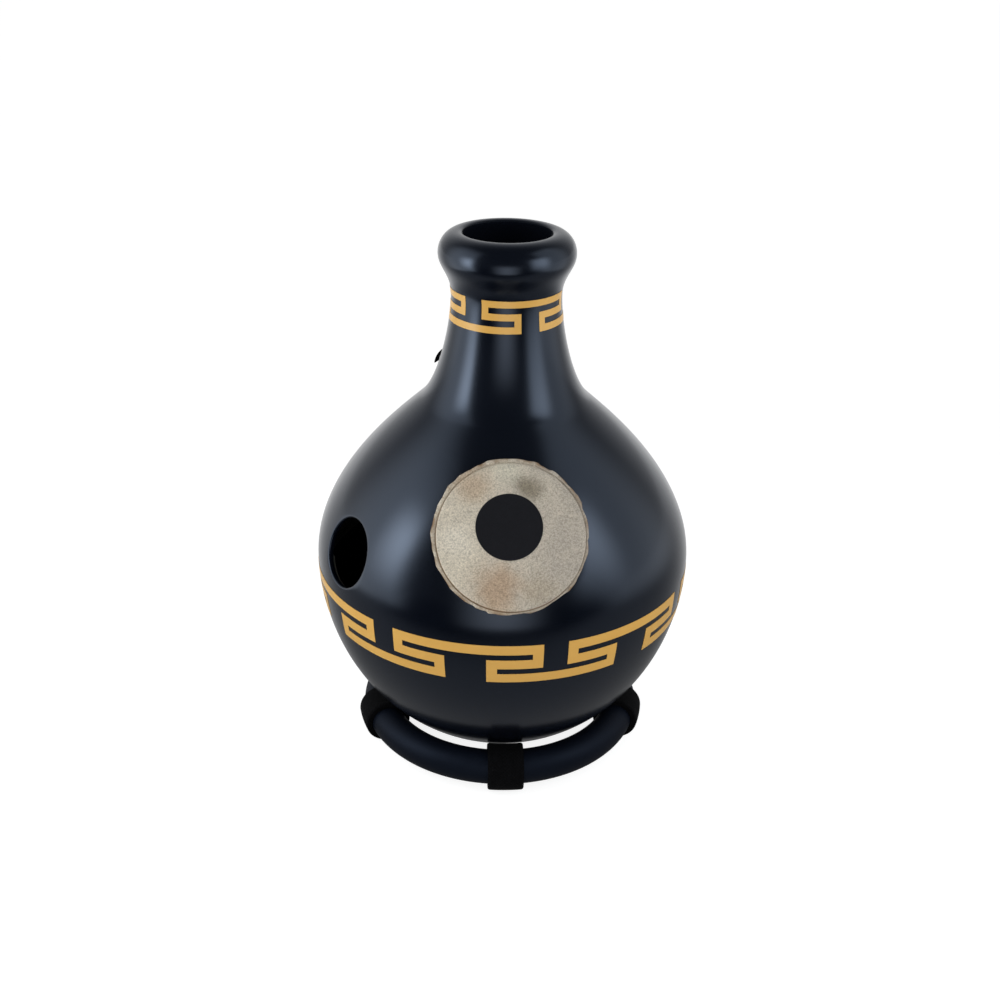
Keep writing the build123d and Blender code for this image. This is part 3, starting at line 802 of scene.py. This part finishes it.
def goatskin():
    """Scraped, dried goatskin: cream to grey, stained tan in patches, finely pebbled, browner at the hem.
    Painted side light makes it paler at the left and greyer at the right; painted shade browns the groove
    round the rim, most at the lower left, and streaks the hem between its folds.
    """
    material, tree, place = new_material("dried_goatskin")
    axes = add_node(tree, "SeparateXYZ", {}, {"Vector": place})
    level = add_node(tree, "CombineXYZ", {}, {"X": axes.outputs["X"], "Y": axes.outputs["Y"]})
    cloud = add_node(tree, "TexNoise", {}, {"Vector": place, "Scale": 1 / HIDE_CLOUD, "Detail": 5.0})
    # Painted side light: the hide goes from cream at the left to grey at the right, under random clouds.
    across = add_node(tree, "MapRange", {},
                      {"Value": axes.outputs["X"], "From Min": -0.9 * COLLAR_RADIUS,
                       "From Max": 0.9 * COLLAR_RADIUS})
    drift = add_node(tree, "Math", {"operation": "MULTIPLY_ADD"}, {0: cloud, 1: 1.4, 2: -0.7})
    grey = add_node(tree, "Math", {"operation": "ADD", "use_clamp": True}, {0: across, 1: drift})
    hide = add_node(tree, "Mix", {"data_type": "RGBA"},
                    {0: grey, 6: linear(SKIN_CREAM), 7: linear(SKIN_GREY_AND_SIDE_SHADE)})
    for colour, centre, size, strength in HIDE_STAINS:
        stain = hide_patch(tree, level, cloud, centre, size, strength)
        hide = add_node(tree, "Mix", {"data_type": "RGBA"},
                        {0: stain, 6: hide.outputs[2], 7: linear(colour)})
    pebble = add_node(tree, "TexVoronoi", {"feature": "SMOOTH_F1"},
                      {"Vector": place, "Scale": 1 / HIDE_PEBBLE, "Smoothness": 0.6})
    fleck = add_node(tree, "TexNoise", {},
                     {"Vector": place, "Scale": 0.7 / HIDE_PEBBLE, "Detail": 4.0, "Roughness": 0.7})
    grain = add_node(tree, "Math", {"operation": "MULTIPLY_ADD"}, {0: pebble, 1: -0.5, 2: fleck})
    tone = add_node(tree, "MapRange", {},
                    {"Value": grain, "From Min": 0.0, "From Max": 0.5, "To Min": 0.66, "To Max": 1.21})
    hide = add_node(tree, "VectorMath", {"operation": "SCALE"}, {"Vector": hide.outputs[2], "Scale": tone})
    reach = add_node(tree, "VectorMath", {"operation": "LENGTH"}, {0: level})
    scorch = add_node(tree, "TexNoise", {}, {"Vector": place, "Scale": 1 / HEM_BROWN, "Detail": 3.0})
    patchy = add_node(tree, "MapRange", {}, {"Value": scorch, "From Min": 0.4, "From Max": 0.6})
    # Painted shade: a brown line in the groove outside the rim, darkest at the lower left, faint at the upper
    # right.
    groove = add_node(tree, "Math", {"operation": "COMPARE"},
                      {0: reach.outputs["Value"], 1: COLLAR_RADIUS + GROOVE_OUT, 2: GROOVE_HALF})
    hem = add_node(tree, "MapRange", {},
                   {"Value": reach.outputs["Value"], "From Min": COLLAR_RADIUS + 0.8 * MM,
                    "From Max": COLLAR_RADIUS + 3.5 * MM})
    side = add_node(tree, "VectorMath", {"operation": "DOT_PRODUCT"}, {0: level, 1: (-0.7, -0.7, 0.0)})
    shadow = add_node(tree, "MapRange", {},
                      {"Value": side.outputs["Value"], "From Min": -0.3 * COLLAR_RADIUS,
                       "From Max": 0.8 * COLLAR_RADIUS, "To Min": 0.15, "To Max": 0.9})
    groove_shade = add_node(tree, "Math", {"operation": "MULTIPLY"}, {0: groove, 1: shadow})
    # Painted shade: radial brown streaks along the hem, as between its folds.
    spoke = add_node(tree, "VectorMath", {"operation": "NORMALIZE"}, {0: level})
    pleat_shade_noise = add_node(tree, "TexNoise", {},
                     {"Vector": spoke, "Scale": COLLAR_RADIUS / HEM_PLEAT_SHADE, "Detail": 2.0})
    fold = add_node(tree, "MapRange", {},
                    {"Value": pleat_shade_noise, "From Min": 0.5, "From Max": 0.65, "To Max": 0.65})
    # The hem's real brown patches and its painted shade streaks, whichever is stronger.
    stain = add_node(tree, "Math", {"operation": "MAXIMUM"}, {0: patchy, 1: fold})
    # Turns the hide brown: the hem's stains, its painted shade streaks, and the painted shade in the groove.
    edge = add_node(tree, "Math", {"operation": "MULTIPLY_ADD", "use_clamp": True},
                    {0: hem, 1: stain, 2: groove_shade})
    hide = add_node(tree, "Mix", {"data_type": "RGBA"}, {0: edge, 6: hide, 7: linear(SKIN_BROWN_AND_SHADE)})
    aside = add_node(tree, "VectorMath", {"operation": "DISTANCE"}, {0: level, 1: (*SPOT_PLACE, 0.0)})
    spot = add_node(tree, "MapRange", {},
                    {"Value": aside.outputs["Value"], "From Min": SPOT_RADIUS - 0.2 * MM,
                     "From Max": SPOT_RADIUS + 0.2 * MM, "To Min": 1.0, "To Max": 0.0})
    ink = add_node(tree, "Mix", {"data_type": "RGBA"},
                   {0: fleck, 6: linear(SPOT_BLACK), 7: linear(SPOT_WORN)})
    colour = add_node(tree, "Mix", {"data_type": "RGBA"}, {0: spot, 6: hide.outputs[2], 7: ink.outputs[2]})
    bump = add_node(tree, "Bump", {}, {"Height": grain, "Strength": 0.9, "Distance": 0.35 * MM})
    skin = add_node(tree, "BsdfPrincipled", {},
                    {"Base Color": colour.outputs[2], "Roughness": 0.7, "IOR": 1.45,
                     "Specular IOR Level": 0.3, "Normal": bump})
    add_node(tree, "OutputMaterial", {}, {"Surface": skin})
    return material


def hem_reach(turn, snips):
    """How far the hem stands out past its groove: most at the left and the top, cut in straight snips."""
    left = HEM_LEFT * max(0.0, math.cos(turn - math.radians(195)))
    top = HEM_TOP * max(0.0, math.cos(turn - math.radians(95)))
    return HEM_LEAST + left + top + float(np.interp(turn, *snips, period=math.tau))


def skin_section(turn, snips, curls):
    """The skin as (radius, height): out over the rim, down to a groove, over the hem and back under it."""
    top = SKIN_LIFT + SKIN_THICKNESS
    section = [(COLLAR_RADIUS * share, top) for share in (0.1, 0.3, 0.5, 0.68, 0.82, 0.9, 0.945)]
    brow = COLLAR_RADIUS - BROW_IN
    for step in range(1, 6):
        lean = math.radians(17 * step)
        section.append((brow + BROW_REACH * math.sin(lean), top - BROW_DROP * (1 - math.cos(lean))))
    groove = COLLAR_RADIUS + GROOVE_OUT
    out = hem_reach(turn, snips)
    curl = sum(size * math.sin(count * turn + shift) for count, shift, size in curls)
    section.append((groove, -GROOVE_DROP))
    for share, rise in HEM_SHAPE:
        section.append((groove + share * out, rise * MM + share * curl))
    under = COLLAR_RADIUS + SKIN_LIFT
    section += [(under + 0.05 * MM, -HEM_FOOT), (under + 0.05 * MM, -1.5 * MM)]
    turn_in = COLLAR_RADIUS - 1.5 * MM
    section += [(turn_in + 1.14 * MM, -0.36 * MM), (turn_in, SKIN_LIFT)]
    return section + [(COLLAR_RADIUS * share, SKIN_LIFT) for share in (0.8, 0.5, 0.2)]


dice = random.Random(5)
snips = [], []
turn = 0.0
while turn < math.tau:
    snips[0].append(turn)
    snips[1].append(dice.uniform(-SNIP_DEPTH, SNIP_DEPTH))
    turn += math.radians(dice.uniform(*SNIP_ANGLES))
curls = [(count, dice.uniform(0, math.tau), dice.uniform(0.1, 0.25) * MM) for count in (5, 9, 14, 22, 31, 44)]
turns = [math.tau * column / SKIN_COLUMNS for column in range(SKIN_COLUMNS)]
sections = [skin_section(turn, snips, curls) for turn in turns]
points, rings = numbered([[Vector((radius * math.cos(turn), radius * math.sin(turn), height))
                           for turn, (radius, height) in zip(turns, ring)] for ring in zip(*sections)])
faces = [face[::-1] for face in strips(rings)]
for ring, level in ((rings[0], SKIN_LIFT + SKIN_THICKNESS), (rings[-1][::-1], SKIN_LIFT)):
    points.append(Vector((0, 0, level)))
    faces.extend((ring[k], ring[(k + 1) % SKIN_COLUMNS], len(points) - 1) for k in range(SKIN_COLUMNS))
head = add_piece("goatskin_head", points, faces, goatskin())
head.matrix_world = head_place()
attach(head, "drum")
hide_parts("head_skin")


# Hang tab
# A short strap of black webbing on the left of the neck, towards the back. It is riveted through its inner
# layer and folded over on top. The outer layer is bowed out over the rivet and hangs to a loose end.
TAB_WIDTH = 7.5 * MM
TAB_GRIP = 4.5 * MM
TAB_LENGTH = 15 * MM
TAB_LOOP = 0.85 * MM
TAB_BOW = 1.27 * MM
TAB_FLARE = 3 * MM
TAB_TUCK = 3.6 * MM
TAB_SEAT = 0.3 * MM
WEBBING_THICKNESS = 1 * MM
WEBBING_FIT = 0.98
SELVEDGE = 0.4 * MM
RIB = 1.3 * MM
WEBBING_BLACK = "#040405"
WEBBING_GREY = "#0c0c0e"


def webbing():
    """Ribbed nylon webbing: matt black, with crosswise ribs. The ribs are drawn a little coarse to show."""
    material, tree, place = new_material("nylon_webbing")
    rib = add_node(tree, "TexWave", {"bands_direction": "Y"},
                   {"Vector": place, "Scale": 1 / RIB / math.tau, "Distortion": 0.4})
    colour = add_node(tree, "Mix", {"data_type": "RGBA"},
                      {0: rib.outputs["Fac"], 6: linear(WEBBING_BLACK), 7: linear(WEBBING_GREY)})
    bump = add_node(tree, "Bump", {}, {"Height": rib.outputs["Fac"], "Strength": 0.6, "Distance": 0.3 * MM})
    cloth = add_node(tree, "BsdfPrincipled", {},
                     {"Base Color": colour.outputs[2], "Roughness": 0.9, "IOR": 1.45,
                      "Specular IOR Level": 0.15, "Normal": bump})
    add_node(tree, "OutputMaterial", {}, {"Surface": cloth})
    return material


def tab_line():
    """Middle of the webbing from the side: up the neck, over the fold and down the bowed outer layer."""
    half = WEBBING_THICKNESS / 2
    near = TAB_SEAT + half
    over = near + WEBBING_THICKNESS + TAB_LOOP
    top = TAB_GRIP - half
    end = TAB_GRIP - TAB_LENGTH
    bend = 0.6 * (over - near)
    line = [Vector((near, end + TAB_TUCK + (top - bend - end - TAB_TUCK) * step / 8)) for step in range(9)]
    crown = Vector(((near + over) / 2, top))
    line += rows_on([line[-1], Vector((near, top)), Vector((near + 0.3 * bend, top)), crown], 6)
    fold, tip = Vector((over, top)), Vector((over + TAB_FLARE, end))
    for step in range(1, 19):
        share = step / 18
        bow = 4 * TAB_BOW * share * (1 - share)
        line.append(fold.lerp(tip, share) + Vector((bow, 0)))
    return line


line = tab_line()
half = TAB_WIDTH / 2
flat = half - SELVEDGE
corners = [(half, 0.6), (flat, 1), (-flat, 1), (-half, 0.6),
           (-half, -0.6), (-flat, -1), (flat, -1), (half, -0.6)]
rings = []
for count, middle in enumerate(line):
    run = (line[min(count + 1, len(line) - 1)] - line[max(count - 1, 0)]).normalized()
    side = Vector((run.y, -run.x)) * (0.5 * WEBBING_THICKNESS * WEBBING_FIT)
    rings.append([Vector((across, middle.y + side.y * part, middle.x + side.x * part))
                  for across, part in corners])
points, rings = numbered(rings)
faces = strips(rings) + [rings[0][::-1], rings[-1]]
tab = add_piece("webbing_hang_tab", points, faces, webbing())
tab.matrix_world = face_plane(RIVET_AZIMUTH, RIVET_HEIGHT)
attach(tab, "drum")
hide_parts("hang_tab")


# Tab rivet
# A black-painted steel rivet through the webbing and the neck's wall, headed over on both sides.
# The bowed outer layer of the webbing hangs over it.
PAINT_BLACK = "#101114"
PAINT_WORN = "#2a2b2e"
WEAR_SIZE = 1.5 * MM


def painted_steel():
    """Stove-enamelled steel: satin black, rubbed a little paler in specks."""
    material, tree, place = new_material("black_enamelled_steel")
    speck = add_node(tree, "TexNoise", {}, {"Vector": place, "Scale": 1 / WEAR_SIZE, "Detail": 3.0})
    wear = add_node(tree, "MapRange", {}, {"Value": speck, "From Min": 0.55, "From Max": 0.8})
    colour = add_node(tree, "Mix", {"data_type": "RGBA"},
                      {0: wear, 6: linear(PAINT_BLACK), 7: linear(PAINT_WORN)})
    enamel = add_node(tree, "BsdfPrincipled", {},
                      {"Base Color": colour.outputs[2], "Roughness": 0.4, "IOR": 1.5})
    add_node(tree, "OutputMaterial", {}, {"Surface": enamel})
    return material


dress("tab_rivet", painted_steel())


# Studio
# A white floor that fades into a white surround, tall soft boxes to the left and right of the drum,
# and a low card of light in front. The surround is bright behind the drum and dim in front of it,
# as where a photographer stands.
FLOOR_SIZE = 60.0
FLOOR_WHITE = 0.8
MIRRORED_GREY = 0.2
MIRRORED_FROM = -0.3
MIRRORED_TO = 0.95
MIRRORED_CURVE = 3.0
GREY_WAY = (0.25, 1.0, 0.0)
GREY_FROM = -0.55
GREY_TO = -0.25
SHADOW_SHARE = 0.35
SURROUND_FILL = 0.416
SURROUND_DIM = 0.048
MIRRORED_WHITE = 0.8
BOX_DAYLIGHT = (0.93, 0.97, 1.0)
BOX_WHITE = (1.0, 1.0, 1.0)


def mirrored_rise(tree, way):
    """Share of white that the lacquer mirrors, from none in front of the drum to all far behind it."""
    axes = add_node(tree, "SeparateXYZ", {}, {"Vector": way})
    rise = add_node(tree, "MapRange", {},
                    {"Value": axes.outputs["Y"], "From Min": MIRRORED_FROM, "From Max": MIRRORED_TO})
    return add_node(tree, "Math", {"operation": "POWER"}, {0: rise, 1: MIRRORED_CURVE})


def seen_straight(tree, path):
    """Whether a ray comes straight from the camera, or on through something clear."""
    return add_node(tree, "Math", {"operation": "MAXIMUM"},
                    {0: path.outputs["Is Camera Ray"], 1: path.outputs["Is Transmission Ray"]})


def seamless_floor():
    """White paper that the camera sees white but for the drum's shadow. The lacquer mirrors it
    as grey near the drum, dark towards the camera and white far behind."""
    material, tree, place = new_material("white_paper_floor")
    path = add_node(tree, "LightPath")
    bounce = add_node(tree, "Math", {"operation": "MULTIPLY"},
                      {0: path.outputs["Is Diffuse Ray"], 1: FLOOR_WHITE})
    paper = add_node(tree, "BsdfDiffuse", {}, {"Color": bounce})
    shade = add_node(tree, "BsdfDiffuse", {}, {"Color": (SHADOW_SHARE, SHADOW_SHARE, SHADOW_SHARE, 1)})
    glow = add_node(tree, "Emission", {}, {"Strength": 1 - 0.4 * SHADOW_SHARE})
    seen = add_node(tree, "AddShader", {}, {0: shade, 1: glow})
    back = add_node(tree, "VectorMath", {"operation": "DOT_PRODUCT"}, {0: place, 1: GREY_WAY})
    near = add_node(tree, "MapRange", {"interpolation_type": "SMOOTHSTEP"},
                    {"Value": back.outputs["Value"], "From Min": GREY_FROM, "From Max": GREY_TO,
                     "To Max": MIRRORED_GREY})
    away = add_node(tree, "VectorMath", {"operation": "NORMALIZE"}, {0: place})
    mirrored = add_node(tree, "Math", {"operation": "ADD", "use_clamp": True},
                        {0: near, 1: mirrored_rise(tree, away)})
    mirrored = add_node(tree, "Math", {"operation": "MULTIPLY"},
                        {0: path.outputs["Is Glossy Ray"], 1: mirrored})
    share = add_node(tree, "Math", {"operation": "MAXIMUM"}, {0: seen_straight(tree, path), 1: mirrored})
    floor = add_node(tree, "MixShader", {}, {0: share, 1: paper, 2: seen})
    add_node(tree, "OutputMaterial", {}, {"Surface": floor})
    return material


half = FLOOR_SIZE / 2
corners = [(-half, -half, 0), (half, -half, 0), (half, half, 0), (-half, half, 0)]
floor = add_piece("studio_floor", corners, [(0, 1, 2, 3)], seamless_floor())

world = bpy.data.worlds.new("white_surround")
world.use_nodes = True
tree = world.node_tree
tree.nodes.clear()
rising = mirrored_rise(tree, add_node(tree, "TexCoord").outputs["Generated"])
behind = add_node(tree, "MapRange", {}, {"Value": rising, "To Min": SURROUND_DIM, "To Max": MIRRORED_WHITE})
path = add_node(tree, "LightPath")
mirrored = add_node(tree, "Mix", {}, {0: path.outputs["Is Glossy Ray"], 2: SURROUND_FILL, 3: behind})
strength = add_node(tree, "Math", {"operation": "MAXIMUM"}, {0: seen_straight(tree, path), 1: mirrored})
sky = add_node(tree, "Background", {}, {"Color": (1, 1, 1, 1), "Strength": strength})
add_node(tree, "OutputWorld", {}, {"Surface": sky})
bpy.context.scene.world = world


def soft_box(name, azimuth, distance, width, low, high, brightness, tint, fades):
    """An upright panel of light that faces the drum's axis and would look white at a brightness of 1.
    It fades out over shares of its width and height: at its left, right, bottom and top."""
    lamp = bpy.data.lights.new(name, "AREA")
    lamp.shape = "RECTANGLE"
    lamp.size = width
    lamp.size_y = high - low
    lamp.color = tint
    lamp.energy = 4 * brightness * width * (high - low)
    lamp.use_nodes = True
    tree = lamp.node_tree
    tree.nodes.clear()
    place = add_node(tree, "NewGeometry").outputs["Parametric"]
    axes = add_node(tree, "SeparateXYZ", {}, {"Vector": place})
    glow = 1.0
    for axis, edge, fade in (("X", 0, fades[0]), ("X", 1, fades[1]), ("Y", 0, fades[2]), ("Y", 1, fades[3])):
        inside = add_node(tree, "MapRange", {"interpolation_type": "SMOOTHSTEP"},
                          {"Value": axes.outputs[axis], "From Min": edge, "From Max": abs(edge - fade)})
        glow = add_node(tree, "Math", {"operation": "MULTIPLY"}, {0: glow, 1: inside})
    panel = add_node(tree, "Emission", {}, {"Strength": glow})
    add_node(tree, "OutputLight", {}, {"Surface": panel})
    box = bpy.data.objects.new(name, lamp)
    turn = math.radians(azimuth)
    box.location = (distance * math.sin(turn), -distance * math.cos(turn), (low + high) / 2)
    box.rotation_euler = (math.pi / 2, 0, turn)
    box.visible_camera = False
    bpy.context.scene.collection.objects.link(box)


soft_box("left_strip", azimuth=-71, distance=0.62, width=0.34, low=0.1, high=0.74, brightness=3.5,
         tint=BOX_DAYLIGHT, fades=(0.7, 0.25, 0.6, 0.4))
soft_box("left_panel", azimuth=-88, distance=0.66, width=1.0, low=0.0, high=1.6, brightness=1.0,
         tint=BOX_DAYLIGHT, fades=(0.5, 0.2, 0.05, 0.6))
soft_box("right_strip", azimuth=52, distance=0.62, width=0.5, low=0.1, high=0.85, brightness=1.95,
         tint=BOX_DAYLIGHT, fades=(0.35, 0.45, 0.6, 0.3))
soft_box("right_panel", azimuth=82, distance=0.66, width=1.0, low=0.0, high=1.7, brightness=0.55,
         tint=BOX_DAYLIGHT, fades=(0.3, 0.4, 0.1, 0.3))
soft_box("front_card", azimuth=-3, distance=0.62, width=0.64, low=0.0, high=0.54, brightness=1.05,
         tint=BOX_WHITE, fades=(0.5, 0.5, 0.1, 0.3))


# Camera
# At the photograph's place: about a metre in front of the drum and looking down at it.
# It is rolled very slightly, by as much as the drum leans in its loose ring.
CAMERA_PLACE = (-0.0500, -1.0025, 0.7023)
CAMERA_TURN = math.radians(-2.7)
CAMERA_DIP = math.radians(25.78)
CAMERA_ROLL = math.radians(0.89)
CAMERA_SENSOR = 36
CAMERA_LENS = 46.8
lens = bpy.data.cameras.new("photograph")
lens.sensor_width = CAMERA_SENSOR
lens.lens = CAMERA_LENS
camera = bpy.data.objects.new("photograph", lens)
aim = Matrix.Rotation(CAMERA_TURN, 4, "Z") @ Matrix.Rotation(math.pi / 2 - CAMERA_DIP, 4, "X")
camera.matrix_world = Matrix.Translation(CAMERA_PLACE) @ aim @ Matrix.Rotation(CAMERA_ROLL, 4, "Z")
bpy.context.scene.collection.objects.link(camera)
bpy.context.scene.camera = camera
bpy.context.scene.view_settings.view_transform = "Standard"
